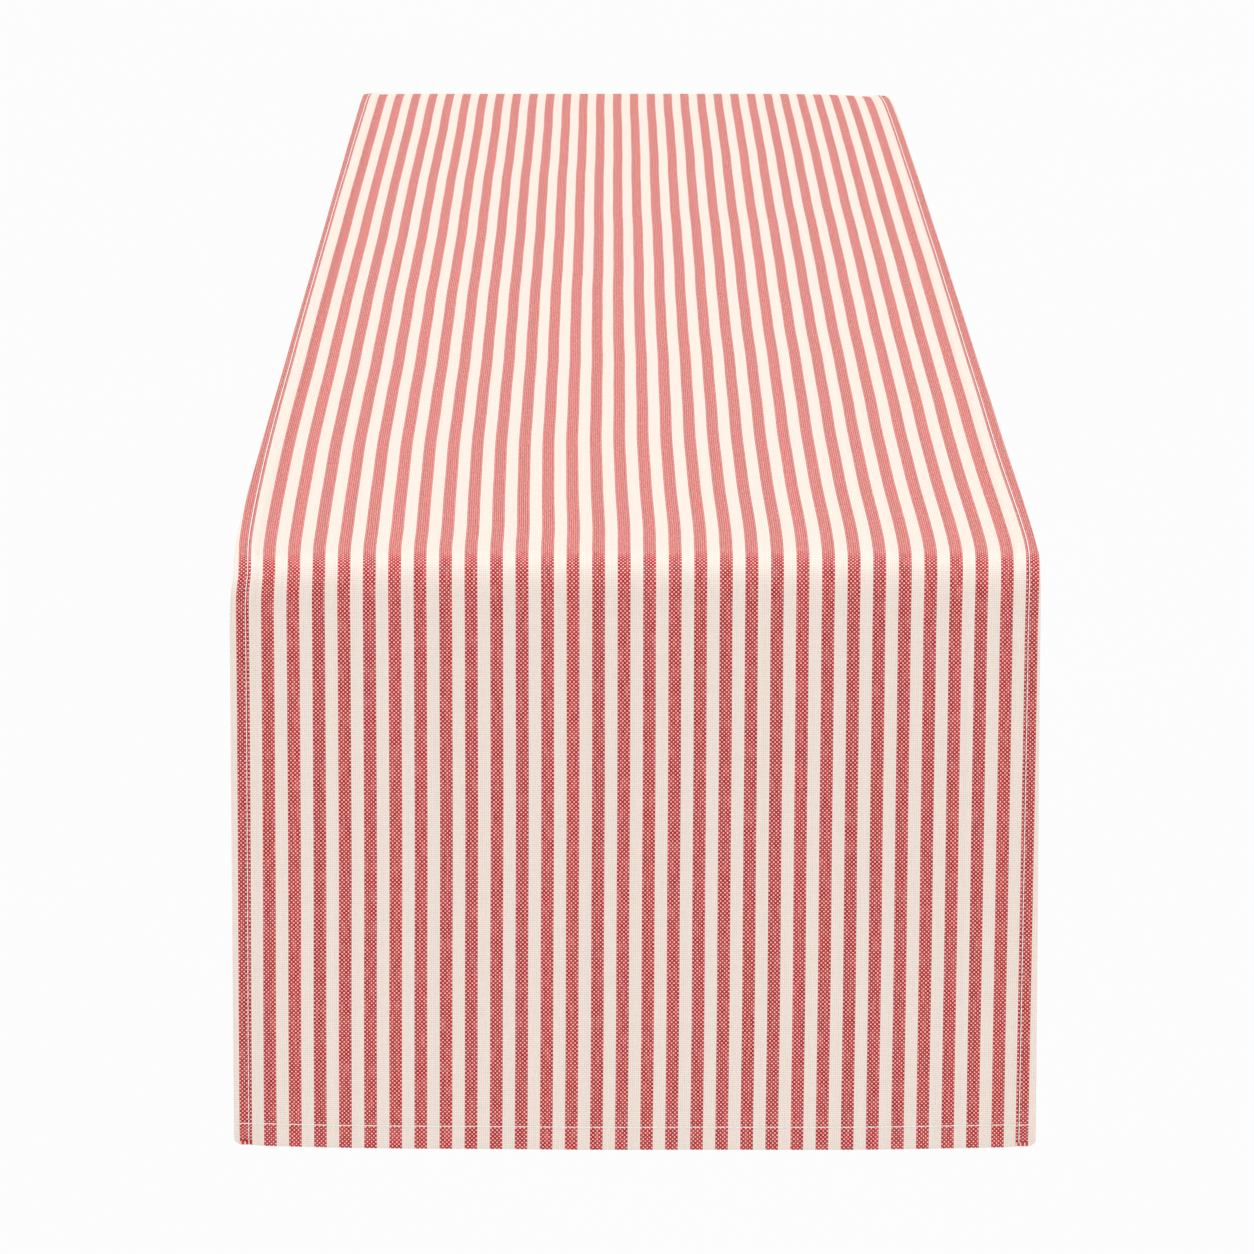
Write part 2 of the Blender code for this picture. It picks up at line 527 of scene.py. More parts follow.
    def place(self, x, along, height):
        """Points for places on the cloth. The three arrays have one shape."""
        table = self.rows
        out, out_per, z, z_per, angle = (
            np.interp(along, table[:, 0], table[:, column]) for column in range(1, 6)
        )
        stack = self.stack(x)
        height = height - self.end_groove(along) - self.side_groove(x, along, height)
        out = out + out_per * stack + height * np.sin(angle)
        z = z + z_per * stack + height * np.cos(angle)
        # A hem lies on the tabletop, but hangs with half of its extra layers on each side.
        hanging = smooth(along, WALL, WALL + 4 * EDGE_RADIUS)
        out = out - hanging * self.hem_share(x) * self.layer
        x, z = self.round_corners(x, z)
        x, out, z = self.settle(x, out, z)
        return np.stack([x, self.sign * out, z], axis=-1)

    def round_corners(self, x, z):
        """Pull the square corners of the hanging end in to a quarter circle."""
        radius = self.corner_radius
        beside = np.clip(np.abs(x) - (HALF_WIDTH - radius), 0.0, None)
        below = np.clip(radius - DROP - z, 0.0, None)
        longest = np.maximum(beside, below)
        span = np.maximum(np.hypot(beside, below), 1e-9)
        keep = longest / span
        inside = (beside > 0) & (below > 0)
        x = np.where(inside, x - np.sign(x) * beside * (1 - keep), x)
        z = np.where(inside, z + below * (1 - keep), z)
        return x, z

    def settle(self, x, out, z):
        """The small unevenness of real cloth. Neighbouring places move alike."""
        shape, start = self.shape, self.WAVE_START * self.sign
        y = self.sign * out
        side = x / HALF_WIDTH
        low = np.maximum(-z / DROP, 0.0)
        top = 1 - smooth(out, HALF_TOP - self.FLAT_BESIDE_BEND, HALF_TOP)

        # The stripes wander, but the side edges stay straight.
        sway = top * ripple(self.TOP_SWAY, x, y, 1.0)
        sway = sway + (1 - top) * low**0.5 * ripple(self.HANG_SWAY, x, z, start)
        moved_x = x + shape.drift * (1 - np.abs(side) ** 6) * sway

        # One side edge draws in at the turn. Both sink there, and that one sinks more.
        past_edge = out - WALL - z
        down = np.exp(-((past_edge / self.REACH_DOWN) ** 2))
        back = 1 / (1 + (past_edge / self.REACH_BACK) ** 2)
        at_turn = np.where(past_edge > 0, down, back)
        one_side = np.clip(self.sign * side, 0.0, 1.0)
        moved_x = moved_x - self.sign * shape.tuck * one_side**4 * at_turn
        other_side = self.OTHER_SIDE_DROOP * side**20
        sunk = shape.droop * np.where(one_side > 0, one_side**6, other_side) * at_turn

        # The top swells off the table, and the hanging end waves and bows.
        one, other = (ripple([wave], x, y, 1.0) for wave in self.TOP_SWELLS)
        lifted = shape.lift * top * (1 + one * other) / 2
        moved_out = out + shape.wave * low**0.8 * ripple(self.HANG_WAVES, x, z, start)
        bow = low**2 * (shape.bow * side**2 - shape.tilt * side)
        return moved_x, moved_out, z + lifted - sunk + bow


# ---------------------------------------------------------------- finishes

# Scales of noise on the cloth, to the metre: (across, along, up). The warp's wander comes first.
WANDERS = ((900.0, 130.0, 1.0), (130.0, 900.0, 1.0))
WARP_STREAKS = (1150.0, 170.0, 1.0)
WEFT_STREAKS = (75.0, 1150.0, 1.0)
WORN_PATCHES = (900.0, 150.0, 1.0)

# Painted shade on a thread: (how much lighter on its crown, lightness in the shaded gap beside it).
RED_GAP_SHADE = (0.55, 0.62)
CREAM_GAP_SHADE = (0.16, 0.88)
CREAM_STREAKS = (0.16, 0.84)  # (share of the red warp's streaks, what is added)
MOST_WORN = 0.22  # share of pink in the palest places of the red warp

HOLE_RADIUS = 0.20 * MM
HOLE_RIM = 0.45 * MM
# Painted shade in a needle hole: how much darker the cloth's colour is there.
HOLE_SHADE = 0.6
HOLE_DEPTH = 2.0  # in crowns of a thread
SLUB_HEIGHT = 0.35  # in crowns of a thread
PLY_TWIST = 0.9 * MM  # length of one turn of the sewing thread's plies
FLOOR_GREY = 0.710


class Graph:
    """Short calls for building a node tree."""

    def __init__(self, tree):
        self.tree = tree

    def node(self, kind, **values):
        made = self.tree.nodes.new(kind)
        for name, value in values.items():
            setattr(made, name, value)
        return made

    def put(self, socket, value):
        if isinstance(value, bpy.types.NodeSocket):
            self.tree.links.new(value, socket)
        else:
            socket.default_value = value

    def sum(self, operation, *values):
        """One Math node."""
        made = self.node("ShaderNodeMath", operation=operation)
        for socket, value in zip(made.inputs, values):
            self.put(socket, value)
        return made.outputs[0]

    def line(self, value, slope, start):
        """start, and slope more for each 1 of value."""
        return self.sum("ADD", self.sum("MULTIPLY", value, slope), start)

    def ease(self, value, low, high, start=0.0, stop=1.0):
        """A smooth step from start to stop as value goes from low to high."""
        made = self.node("ShaderNodeMapRange", interpolation_type="SMOOTHSTEP")
        for name, number in (("Value", value), ("From Min", low), ("From Max", high)):
            self.put(made.inputs[name], number)
        self.put(made.inputs["To Min"], start)
        self.put(made.inputs["To Max"], stop)
        return made.outputs["Result"]

    def mix(self, share, one, other):
        """Two colours mixed."""
        made = self.node("ShaderNodeMix", data_type="RGBA")
        colours = [socket for socket in made.inputs if socket.type == "RGBA"]
        self.put(made.inputs["Factor"], share)
        self.put(colours[0], one)
        self.put(colours[1], other)
        return next(socket for socket in made.outputs if socket.type == "RGBA")

    def shade(self, colour, value):
        """A colour made lighter or darker."""
        made = self.node("ShaderNodeVectorMath", operation="SCALE")
        self.put(made.inputs[0], colour)
        self.put(made.inputs["Scale"], value)
        return made.outputs[0]

    def noise(self, vector, scale, detail=2.0):
        made = self.node("ShaderNodeTexNoise")
        self.put(made.inputs["Vector"], vector)
        self.put(made.inputs["Scale"], scale)
        self.put(made.inputs["Detail"], detail)
        return made.outputs[0]

    def stretched(self, vector, scale):
        made = self.node("ShaderNodeVectorMath", operation="MULTIPLY")
        self.put(made.inputs[0], vector)
        made.inputs[1].default_value = scale
        return made.outputs[0]

    def group(self, tree, **values):
        made = self.node("ShaderNodeGroup", node_tree=tree)
        for name, value in values.items():
            self.put(made.inputs[name.replace("_", " ")], value)
        return made


def new_group(name, inputs, outputs):
    """An empty node group. Returns its graph, its input node and its output node."""
    tree = bpy.data.node_groups.new(name, "ShaderNodeTree")
    for socket, kind in inputs.items():
        tree.interface.new_socket(socket, in_out="INPUT", socket_type=kind)
    for socket, kind in outputs.items():
        tree.interface.new_socket(socket, in_out="OUTPUT", socket_type=kind)
    graph = Graph(tree)
    return graph, graph.node("NodeGroupInput"), graph.node("NodeGroupOutput")


def plain_weave_group():
    """Threads that pass over and under each other, one by one.

    Warp is 1 where a lengthwise thread is on top. Height is 0 in the gaps and 1 on the crowns.
    Thread is a number of its own for each lengthwise thread, and Pick for each crosswise one.
    """
    name = "Plain weave"
    if name in bpy.data.node_groups:
        return bpy.data.node_groups[name]
    graph, given, result = new_group(
        name,
        {
            "Cloth place": "NodeSocketVector",
            "Thread pitch": "NodeSocketFloat",
            "Unevenness": "NodeSocketFloat",
            "Warp cover": "NodeSocketFloat",
        },
        {
            "Warp": "NodeSocketFloat",
            "Height": "NodeSocketFloat",
            "Thread": "NodeSocketFloat",
            "Pick": "NodeSocketFloat",
        },
    )
    place = given.outputs["Cloth place"]
    parts = graph.node("ShaderNodeSeparateXYZ")
    graph.put(parts.inputs[0], place)
    counted, fractions = [], []
    for axis, stretch in enumerate(WANDERS):
        wander = graph.sum("SUBTRACT", graph.noise(graph.stretched(place, stretch), 1.0), 0.5)
        wander = graph.sum("MULTIPLY", wander, given.outputs["Unevenness"])
        threads = graph.sum("DIVIDE", parts.outputs[axis], given.outputs["Thread pitch"])
        threads = graph.sum("ADD", threads, wander)
        counted.append(graph.sum("FLOOR", threads))
        middle = graph.sum("SUBTRACT", graph.sum("FRACT", threads), 0.5)
        fractions.append(graph.sum("COSINE", graph.sum("MULTIPLY", middle, math.pi)))
    both = graph.sum("ADD", counted[0], counted[1])
    over = graph.line(graph.sum("FLOORED_MODULO", both, 2.0), 2.0, -1.0)
    crown = graph.sum("MULTIPLY", fractions[0], fractions[1])
    signed = graph.sum("ADD", graph.sum("MULTIPLY", crown, over), given.outputs["Warp cover"])
    graph.put(result.inputs["Warp"], graph.ease(signed, -0.10, 0.10))
    graph.put(result.inputs["Height"], graph.sum("POWER", graph.sum("MAXIMUM", crown, 0.0), 0.6))
    for count, socket in zip(counted, ("Thread", "Pick")):
        random = graph.node("ShaderNodeTexWhiteNoise", noise_dimensions="1D")
        graph.put(random.inputs["W"], count)
        graph.put(result.inputs[socket], random.outputs["Value"])
    return graph.tree


def yarn_group():
    """How one yarn goes lighter and darker, thicker and thinner, along its length."""
    name = "Spun yarn"
    if name in bpy.data.node_groups:
        return bpy.data.node_groups[name]
    graph, given, result = new_group(
        name,
        {
            "Place": "NodeSocketVector",
            "Own number": "NodeSocketFloat",
            "Contrast": "NodeSocketFloat",
        },
        {"Shade": "NodeSocketFloat", "Slub": "NodeSocketFloat"},
    )
    streaks = graph.noise(given.outputs["Place"], 1.0, 3.0)
    both = graph.sum("ADD", streaks, graph.line(given.outputs["Own number"], 0.25, -0.62))
    graph.put(result.inputs["Shade"], graph.line(both, given.outputs["Contrast"], 1.0))
    graph.put(result.inputs["Slub"], graph.ease(streaks, 0.60, 0.78))
    return graph.tree


def cloth_material(settings):
    """Yarn-dyed cotton: red and cream warp, cream weft, with the holes the needle left."""
    cloth = settings.cloth
    material = bpy.data.materials.new("striped_cotton")
    material.use_nodes = True
    graph = Graph(material.node_tree)
    shader = material.node_tree.nodes["Principled BSDF"]
    place = graph.node("ShaderNodeUVMap", uv_map=CLOTH_MAP).outputs[0]
    parts = graph.node("ShaderNodeSeparateXYZ")
    graph.put(parts.inputs[0], place)
    across, along = parts.outputs[0], parts.outputs[1]
    weave = graph.group(
        plain_weave_group(),
        Cloth_place=place,
        Thread_pitch=cloth.thread_pitch,
        Unevenness=0.5,
        Warp_cover=0.34,
    )
    warp = graph.group(
        yarn_group(),
        Place=graph.stretched(place, WARP_STREAKS),
        Own_number=weave.outputs["Thread"],
        Contrast=1.0,
    )
    weft = graph.group(
        yarn_group(),
        Place=graph.stretched(place, WEFT_STREAKS),
        Own_number=weave.outputs["Pick"],
        Contrast=0.16,
    )
    holes = needle_holes(graph, across, along, settings)

    colour = woven_colour(graph, cloth, place, across, (weave, warp, weft))
    # Painted shade in the needle holes.
    colour = graph.shade(colour, graph.line(holes, -HOLE_SHADE, 1.0))
    graph.put(shader.inputs["Base Color"], colour)
    graph.put(shader.inputs["Roughness"], graph.line(weave.outputs["Height"], -0.12, 0.95))
    slubs = graph.sum("MULTIPLY", warp.outputs["Slub"], SLUB_HEIGHT)
    height = graph.sum("ADD", weave.outputs["Height"], slubs)
    height = graph.sum("SUBTRACT", height, graph.sum("MULTIPLY", holes, HOLE_DEPTH))
    add_bump(graph, shader, height, strength=0.6, distance=0.2 * MM)
    shader.inputs["Specular IOR Level"].default_value = 0.2
    shader.inputs["Sheen Weight"].default_value = 0.53
    shader.inputs["Sheen Roughness"].default_value = 0.35
    shader.inputs["Sheen Tint"].default_value = (0.84, 0.52, 0.436, 1.0)
    return material


def woven_colour(graph, cloth, place, across, yarns):
    """The colour of the thread that is on top, in a red stripe or in a cream one, with painted
    shade in the gaps between threads.
    """
    weave, warp_yarn, weft_yarn = yarns
    warp_shade, weft_shade = warp_yarn.outputs["Shade"], weft_yarn.outputs["Shade"]
    # Painted shade: each thread is darker in the gaps beside it and lighter on its crown.
    red_gap_shade = graph.line(weave.outputs["Height"], *RED_GAP_SHADE)
    cream_gap_shade = graph.line(weave.outputs["Height"], *CREAM_GAP_SHADE)

    worn = graph.noise(graph.stretched(place, WORN_PATCHES), 1.0, 3.0)
    worn = graph.ease(worn, 0.40, 0.72, 0.0, MOST_WORN)
    red = graph.mix(worn, (*cloth.red, 1.0), (*cloth.pink, 1.0))
    red = graph.shade(red, graph.sum("MULTIPLY", warp_shade, red_gap_shade))
    pink = graph.shade((*cloth.pink,), graph.sum("MULTIPLY", weft_shade, red_gap_shade))

    calm_shade = graph.line(warp_shade, *CREAM_STREAKS)
    cream_warp = graph.shade((*cloth.cream,), graph.sum("MULTIPLY", calm_shade, cream_gap_shade))
    cream_weft = graph.shade((*cloth.cream,), graph.sum("MULTIPLY", weft_shade, cream_gap_shade))

    is_red = red_stripes(graph, cloth, across)
    warp = graph.mix(is_red, cream_warp, red)
    weft = graph.mix(is_red, cream_weft, pink)
    return graph.mix(weave.outputs["Warp"], weft, warp)


def red_stripes(graph, cloth, across):
    """1 on the red lengthwise threads and 0 on the cream ones."""
    repeat = cloth.stripe_repeat
    thread = graph.sum("FLOOR", graph.sum("DIVIDE", across, cloth.thread_pitch))
    in_repeat = graph.sum("FLOORED_MODULO", graph.sum("ADD", thread, 0.5), float(repeat))
    from_middle = graph.sum("ABSOLUTE", graph.sum("SUBTRACT", in_repeat, repeat / 2))
    return graph.sum("LESS_THAN", from_middle, cloth.red_threads / 2)


def add_bump(graph, shader, height, strength, distance):
    bump = graph.node("ShaderNodeBump")
    bump.inputs["Strength"].default_value = strength
    bump.inputs["Distance"].default_value = distance
    graph.put(bump.inputs["Height"], height)
    graph.put(shader.inputs["Normal"], bump.outputs[0])


def needle_holes(graph, across, along, settings):
    """A small hole wherever the needle went through a side hem or the back end's hem, with painted
    shade in it.

    The front end's hem has none: its places along the cloth are negative.
    """
    drape = Drape("front", settings)
    pitch = stitch_length(settings)
    rows = [
        (graph.sum("ABSOLUTE", across), drape.side_row, along),
        (along, drape.face_row, across),
        (along, drape.back_row, across),
    ]
    holes = 0.0
    for crossing, middle, beside in rows:
        off_row = graph.sum("SUBTRACT", crossing, middle)
        phase = graph.sum("FRACT", graph.sum("ADD", graph.sum("DIVIDE", beside, pitch), 0.5))
        off_hole = graph.sum("MULTIPLY", graph.sum("SUBTRACT", phase, 0.5), pitch)
        squares = [graph.sum("POWER", distance, 2.0) for distance in (off_row, off_hole)]
        away = graph.sum("SQRT", graph.sum("ADD", *squares))
        hole = graph.ease(away, HOLE_RADIUS, HOLE_RIM, 1.0, 0.0)
        holes = graph.sum("MAXIMUM", holes, hole)
    return holes


def thread_material(settings):
    """Two-ply cotton sewing thread."""
    material = bpy.data.materials.new("sewing_thread")
    material.use_nodes = True
    graph = Graph(material.node_tree)
    shader = material.node_tree.nodes["Principled BSDF"]
    ply = graph.node("ShaderNodeAttribute", attribute_name=PLY_ATTRIBUTE).outputs["Vector"]
    parts = graph.node("ShaderNodeSeparateXYZ")
    graph.put(parts.inputs[0], ply)
    around = graph.sum("ARCTAN2", parts.outputs[1], parts.outputs[0])
    twist = graph.sum("MULTIPLY", parts.outputs[2], 2 * math.pi / PLY_TWIST)
    ridge = graph.sum("SINE", graph.sum("ADD", graph.sum("MULTIPLY", around, 2.0), twist))
    yarn = graph.group(
        yarn_group(),
        Place=graph.stretched(ply, (0.6, 0.6, 900.0)),
        Own_number=0.5,
        Contrast=0.35,
    )
    # Painted shade: the thread is darker in the grooves between its plies. The yarn's streaks are
    # its own tone.
    shade = graph.sum("MULTIPLY", yarn.outputs["Shade"], graph.line(ridge, 0.06, 0.94))
    graph.put(shader.inputs["Base Color"], graph.shade((*settings.stitch.colour,), shade))
    graph.put(shader.inputs["Roughness"], graph.line(ridge, -0.08, 0.75))
    add_bump(graph, shader, ridge, strength=0.7, distance=0.04 * MM)
    shader.inputs["Sheen Weight"].default_value = 0.3
    shader.inputs["Sheen Roughness"].default_value = 0.4
    return material


def floor_material():
    """Matt pale paint, very slightly uneven."""
    material = bpy.data.materials.new("pale_floor")
    material.use_nodes = True
    graph = Graph(material.node_tree)
    shader = material.node_tree.nodes["Principled BSDF"]
    place = graph.node("ShaderNodeTexCoord").outputs["Object"]
    patches = graph.line(graph.noise(place, 0.4, 1.0), 0.004, 0.998)
    graph.put(shader.inputs["Base Color"], graph.shade((FLOOR_GREY,) * 3, patches))
    shader.inputs["Roughness"].default_value = 1.0
    shader.inputs["Specular IOR Level"].default_value = 0.0
    return material


def material_of(name, make, settings):
    """A finish is made once and shared by the pieces that have it."""
    return bpy.data.materials.get(name) or make(settings)


# ---------------------------------------------------------------- the pieces

SHARP_ANGLE = math.radians(50)
THREAD_SIDES = 6
STITCH_RISE = 0.8  # of the thread's middle above the cloth, in its radii
STITCH_SLANT = 0.3  # of a stitch to one side and back, in radii of the thread
END_ROW_INSET = 0.4 * MM  # from a side edge to the first needle hole of an end's row
SIDE_ROW_GAP = MM  # from a side row's last stitch to the cloth's cut edge, at least


def add_object(name, mesh):
    made = bpy.data.objects.new(name, mesh)
    bpy.context.collection.objects.link(made)
    return made


def bend_with(piece):
    """The piece's place is baked into its mesh."""
    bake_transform(piece)


def build_cloth(end, settings):
    """One half of the cloth, with both side hems and one end hem turned twice under."""
    drape = Drape(end, settings)
    flat, x, height = drape.columns
    flat = np.concatenate([-flat[:0:-1], flat])
    x = np.concatenate([-x[:0:-1], x])
    height = np.concatenate([height[:0:-1], height])
    along = drape.rows[:, 0]

    bm = bmesh.new()
    bmesh.ops.create_grid(bm, x_segments=len(x) - 1, y_segments=len(along) - 1, size=1.0)
    mesh = bpy.data.meshes.new(f"cloth_{end}")
    bm.to_mesh(mesh)
    bm.free()
    grid = np.zeros(len(mesh.vertices) * 3)
    mesh.vertices.foreach_get("co", grid)
    grid = (grid.reshape(-1, 3)[:, :2] + 1) / 2
    column = np.rint(grid[:, 0] * (len(x) - 1)).astype(int)
    row = np.rint(grid[:, 1] * (len(along) - 1)).astype(int)
    points = drape.place(x[column], along[row], height[column])
    mesh.vertices.foreach_set("co", points.ravel())

    corners = np.zeros(len(mesh.loops), int)
    mesh.loops.foreach_get("vertex_index", corners)
    woven = flat - drape.stripe_shift(flat, along[:, None])
    places = np.stack([woven[row, column], drape.sign * along[row]], axis=-1)[corners]
    mesh.uv_layers.new(name=CLOTH_MAP).data.foreach_set("uv", places.ravel())
    mesh.shade_smooth()
    mesh.update()

    piece = add_object(f"cloth_{end}", mesh)
    wall = piece.modifiers.new("Thickness", "SOLIDIFY")
    wall.thickness = CLOTH_THICKNESS
    wall.offset = 0.0
    apply_modifiers(piece)
    mesh.set_sharp_from_angle(angle=SHARP_ANGLE)
    mesh.materials.append(material_of("striped_cotton", cloth_material, settings))
    starts = ("front", "top") if end == "front" else ("back",)
    cloth_nodes = [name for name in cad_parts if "thread" not in name]
    nodes = [name for start in starts for name in cloth_nodes if name.startswith(start)]
    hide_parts(*nodes)
    bend_with(piece)
    return piece, (float(flat[-1] - flat[0]), float(along[-1]))


def stitch_length(settings):
    """The row along an end starts and stops just inside the side edges."""
    return 2 * (HALF_WIDTH - END_ROW_INSET) / settings.stitch.stitches_across


def stitch_row(name, count, settings):
    """A straight row of stitches along Y: one stitch, repeated, with its ends closed."""
    stitch = settings.stitch
    length = stitch_length(settings)
    rise = STITCH_RISE * stitch.thread_radius
    # (share of the stitch's length, height of the thread's middle)
    stations = [
        (0.0, -stitch.sink),
        (0.06, 0.1 * rise),
        (0.16, 0.85 * rise),
        (0.5, rise),
        (0.84, 0.85 * rise),
        (0.94, 0.1 * rise),
        (1.0, -stitch.sink),
    ]
    slant = STITCH_SLANT * stitch.thread_radius
    facing_along = Matrix.Rotation(math.pi / 2, 3, "X")
    bm = bmesh.new()
    circle = bmesh.ops.create_circle(bm, segments=THREAD_SIDES, radius=stitch.thread_radius)
    ring = circle["verts"]
    bmesh.ops.rotate(bm, verts=ring, cent=(0, 0, 0), matrix=facing_along)
    bmesh.ops.translate(bm, verts=ring, vec=(0.0, 0.0, stations[0][1]))
    edges = list({edge for vertex in ring for edge in vertex.link_edges})
    for before, after in zip(stations, stations[1:]):
        made = bmesh.ops.extrude_edge_only(bm, edges=edges)["geom"]
        edges = [part for part in made if isinstance(part, bmesh.types.BMEdge)]
        moved = [part for part in made if isinstance(part, bmesh.types.BMVert)]
        aside = slant * (math.sin(math.pi * 2 * after[0]) - math.sin(math.pi * 2 * before[0]))
        step = (aside, (after[0] - before[0]) * length, after[1] - before[1])
        bmesh.ops.translate(bm, verts=moved, vec=step)
    mesh = bpy.data.meshes.new(name)
    bm.to_mesh(mesh)
    bm.free()
    piece = add_object(name, mesh)
    array = piece.modifiers.new("Row", "ARRAY")
    array.count = count
    array.use_relative_offset = False
    array.use_constant_offset = True
    array.constant_offset_displace = (0.0, length, 0.0)
    array.use_merge_vertices = True
    array.merge_threshold = 0.01 * MM
    apply_modifiers(piece)
    return piece


def apply_modifiers(piece):
    """Apply the piece's modifiers and cap any end left open."""
    shown = piece.evaluated_get(bpy.context.evaluated_depsgraph_get())
    bm = bmesh.new()
    bm.from_mesh(shown.to_mesh())
    shown.to_mesh_clear()
    piece.modifiers.clear()
    rims = [edge for edge in bm.edges if edge.is_boundary]
    bmesh.ops.holes_fill(bm, edges=rims, sides=THREAD_SIDES)
    bmesh.ops.recalc_face_normals(bm, faces=bm.faces[:])
    bm.to_mesh(piece.data)
    bm.free()


def lay_row(piece, drape, to_cloth):
    """Bend a straight row along the cloth. to_cloth turns (aside, along, height) into a place."""
    mesh = piece.data
    points = np.zeros(len(mesh.vertices) * 3)
    mesh.vertices.foreach_get("co", points)
    aside, along, height = points.reshape(-1, 3).T
    ply = np.stack([aside, height, along], axis=-1)
    ply[:, 0] /= np.abs(ply[:, 0]).max()
    ply[:, 1] /= np.abs(ply[:, 1]).max()
    attribute = mesh.attributes.new(PLY_ATTRIBUTE, "FLOAT_VECTOR", "POINT")
    attribute.data.foreach_set("vector", ply.ravel())
    x, along, height = to_cloth(aside, along, height)
    placed = drape.place(x + drape.stripe_shift(x, along), along, height)
    mesh.vertices.foreach_set("co", placed.ravel())
    mesh.update()
    bm = bmesh.new()
    bm.from_mesh(mesh)
    bmesh.ops.recalc_face_normals(bm, faces=bm.faces[:])
    bm.to_mesh(mesh)
    bm.free()
    mesh.shade_smooth()


def face_height(drape, x):
    """Height of the cloth's face above its back, where a needle's thread lies."""
    return drape.layer * (0.5 + 2 * drape.hem_share(x)) + CLOTH_THICKNESS / 2


def build_side_row(end, side, row, settings):
    """The needle's thread on a side hem's face, or the bobbin's thread on its back."""
    drape = Drape(end, settings)
    longest = drape.rows[-1, 0] - SIDE_ROW_GAP
    count = int(longest / stitch_length(settings))
    piece = stitch_row(f"{row}_thread_{side}_{end}", count, settings)
    outward = SIDES[side]
    back = (drape.layer - CLOTH_THICKNESS) / 2

    def to_cloth(aside, along, height):
        x = outward * SIDE_ROW_X + aside
        row_x = np.full_like(x, SIDE_ROW_X)
        if row == "needle":
            return x, along, face_height(drape, row_x) + height
        return x, along, back - height

    lay_row(piece, drape, to_cloth)
    nodes = [f"{end}_{row}_thread_{side}"]
    if end == "front":
        nodes.append(f"top_{row}_thread_{side}")
    return finish_row(piece, nodes, settings)


def build_end_row(end, row, settings):
    """The stitches along an end hem, on its face or on its back."""
    drape = Drape(end, settings)
    count = settings.stitch.stitches_across
    piece = stitch_row(f"{row}_thread_{end}_hem", count, settings)
    middle = count * stitch_length(settings) / 2
    crossing = drape.face_row if row == "needle" else drape.back_row

    def to_cloth(aside, along, height):
        x = along - middle
        return x, crossing - aside, face_height(drape, x) + height

    lay_row(piece, drape, to_cloth)
    return finish_row(piece, [f"{end}_end_{row}_thread"], settings)


def finish_row(piece, nodes, settings):
    piece.data.materials.clear()
    piece.data.materials.append(material_of("sewing_thread", thread_material, settings))
    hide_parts(*nodes)
    bend_with(piece)
    return piece


# ---------------------------------------------------------------- operators

FLOOR_HALF_SIZE = 60.0
SUN_WIDTH = math.radians(50)
SUN_LEAN = math.radians(-6)
SENSOR_WIDTH = 36.0  # in millimetres
VIEW_DEPTH = 200.0


class RUNNER_OT_side_stitches(bpy.types.Operator):
    """Sew the rows along both side hems, with a needle's thread and a bobbin's thread"""

    bl_idname = "table_runner.side_stitches"
    bl_label = "Side Stitches"

    def execute(self, context):
        settings = context.scene.table_runner
        for end in ENDS:
            for side in SIDES:
                for row in ROWS:
                    build_side_row(end, side, row, settings)
        return {"FINISHED"}


class RUNNER_OT_end_stitches(bpy.types.Operator):
    """Sew the row along each end hem, with a needle's thread and a bobbin's thread"""

    bl_idname = "table_runner.end_stitches"
    bl_label = "End Stitches"

    def execute(self, context):
        settings = context.scene.table_runner
        for end in ENDS:
            for row in ROWS:
                build_end_row(end, row, settings)
        return {"FINISHED"}


class RUNNER_OT_cloth(bpy.types.Operator):
    """Drape both halves of the striped cloth, with their hems"""

    bl_idname = "table_runner.cloth"
    bl_label = "Cloth"

    def execute(self, context):
        settings = context.scene.table_runner
        for end in ENDS:
            piece, flat = build_cloth(end, settings)
        return {"FINISHED"}


class RUNNER_OT_stage(bpy.types.Operator):
    """Set up the pale floor, the soft light and the camera"""

    bl_idname = "table_runner.stage"
    bl_label = "Stage"

    def execute(self, context):
        scene = context.scene
        stage = scene.table_runner.stage
        add_floor(stage)
        add_light(scene, stage)
        add_camera(scene, stage)
        return {"FINISHED"}


def add_floor(stage):
    bm = bmesh.new()
    bmesh.ops.create_grid(bm, x_segments=1, y_segments=1, size=FLOOR_HALF_SIZE)
    bmesh.ops.translate(bm, verts=bm.verts[:], vec=(0.0, 0.0, -stage.floor_depth))
    mesh = bpy.data.meshes.new("floor")
    bm.to_mesh(mesh)
    bm.free()
    mesh.materials.append(floor_material())
    add_object("floor", mesh)


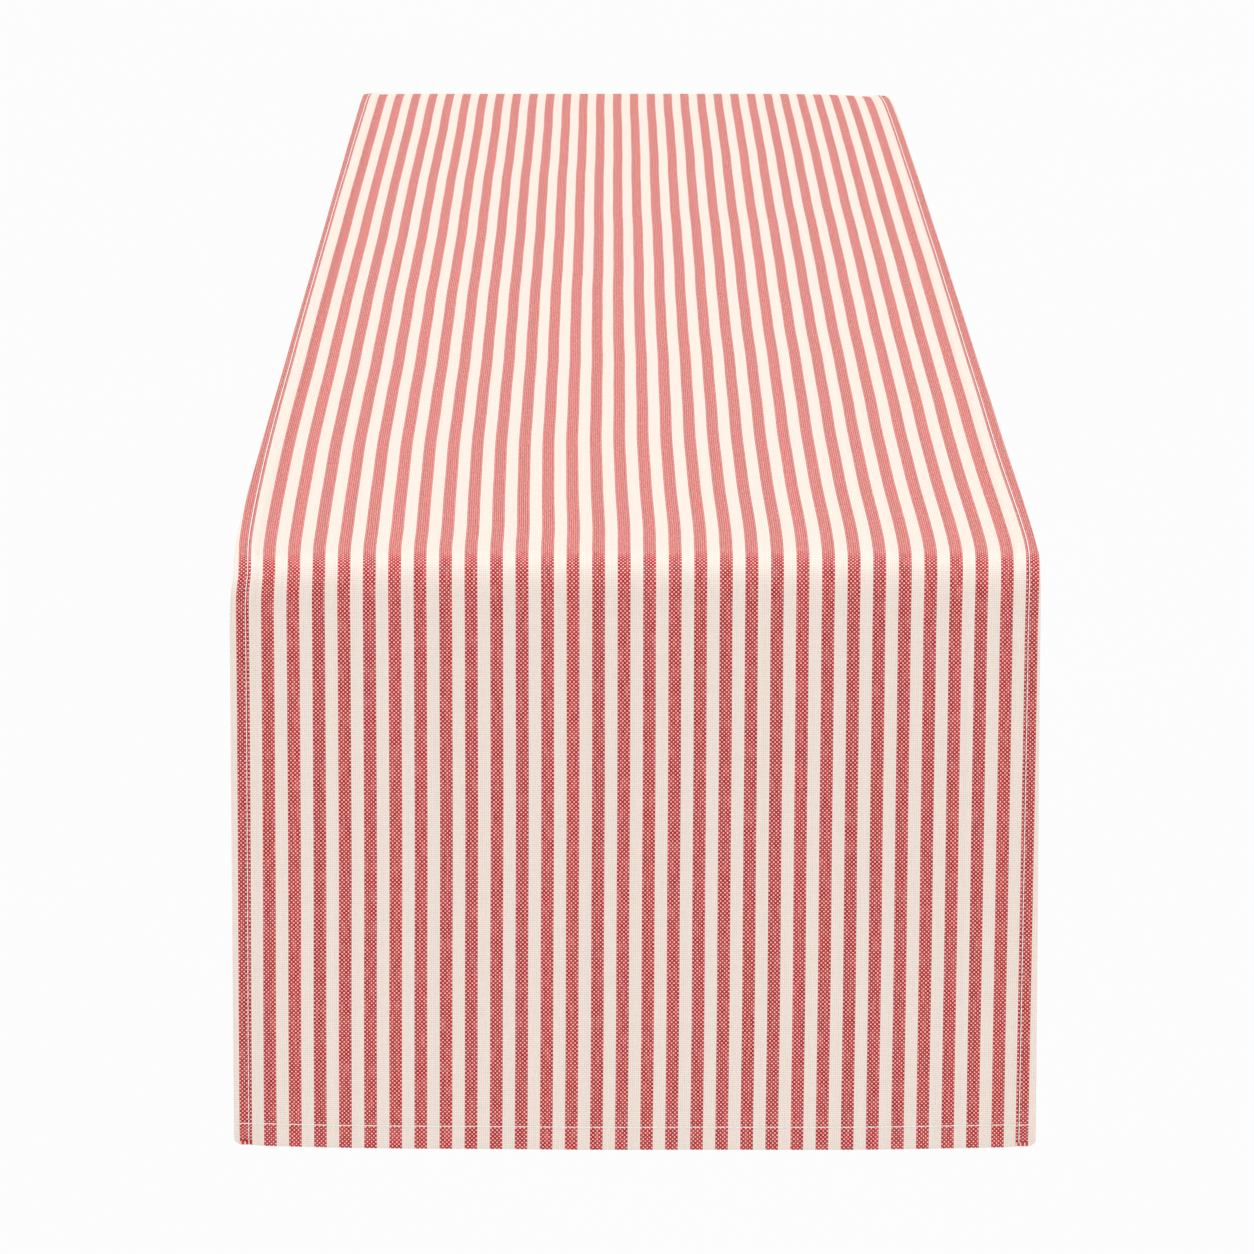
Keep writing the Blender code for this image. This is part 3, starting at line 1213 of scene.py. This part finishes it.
def add_light(scene, stage):
    """Even light from all round, with a wide soft light from above."""
    world = bpy.data.worlds.new("studio")
    world.use_nodes = True
    background = world.node_tree.nodes["Background"]
    background.inputs["Color"].default_value = (1.0, 1.0, 1.0, 1.0)
    background.inputs["Strength"].default_value = stage.sky
    scene.world = world
    sun = bpy.data.lights.new("soft_sun", "SUN")
    sun.energy = stage.sun
    sun.angle = SUN_WIDTH
    lamp = bpy.data.objects.new("soft_sun", sun)
    lamp.rotation_euler = (SUN_LEAN, SUN_LEAN, 0.0)
    bpy.context.collection.objects.link(lamp)
    scene.view_settings.view_transform = "Standard"


def add_camera(scene, stage):
    data = bpy.data.cameras.new("camera")
    data.sensor_width = SENSOR_WIDTH
    data.lens = stage.lens
    data.clip_end = VIEW_DEPTH
    camera = bpy.data.objects.new("camera", data)
    front = WALL + CLOTH_THICKNESS
    camera.location = (stage.camera_aside, -front - stage.camera_distance, stage.camera_height)
    camera.rotation_euler = (math.pi / 2 - stage.camera_pitch, 0.0, -stage.camera_yaw)
    bpy.context.collection.objects.link(camera)
    scene.camera = camera


class RUNNER_PT_panel(bpy.types.Panel):
    """The table runner's tools"""

    bl_label = "Table Runner"
    bl_idname = "RUNNER_PT_panel"
    bl_space_type = "VIEW_3D"
    bl_region_type = "UI"
    bl_category = "Table Runner"

    def draw(self, context):
        settings = context.scene.table_runner
        for operator in OPERATORS:
            self.layout.operator(operator.bl_idname)
        for group in (settings.cloth, settings.drape, settings.stitch, settings.stage):
            box = self.layout.box()
            for name in group.__annotations__:
                box.prop(group, name)


OPERATORS = (
    RUNNER_OT_side_stitches,
    RUNNER_OT_end_stitches,
    RUNNER_OT_cloth,
    RUNNER_OT_stage,
)
CLASSES = (
    ClothSettings,
    DrapeSettings,
    StitchSettings,
    StageSettings,
    RunnerSettings,
    *OPERATORS,
    RUNNER_PT_panel,
)


def register():
    for cls in CLASSES:
        bpy.utils.register_class(cls)
    bpy.types.Scene.table_runner = PointerProperty(type=RunnerSettings)


def unregister():
    del bpy.types.Scene.table_runner
    for cls in reversed(CLASSES):
        bpy.utils.unregister_class(cls)


def main():
    register()
    bpy.ops.table_runner.side_stitches()
    bpy.ops.table_runner.end_stitches()
    bpy.ops.table_runner.cloth()
    bpy.ops.table_runner.stage()


if __name__ == "__main__":
    main()
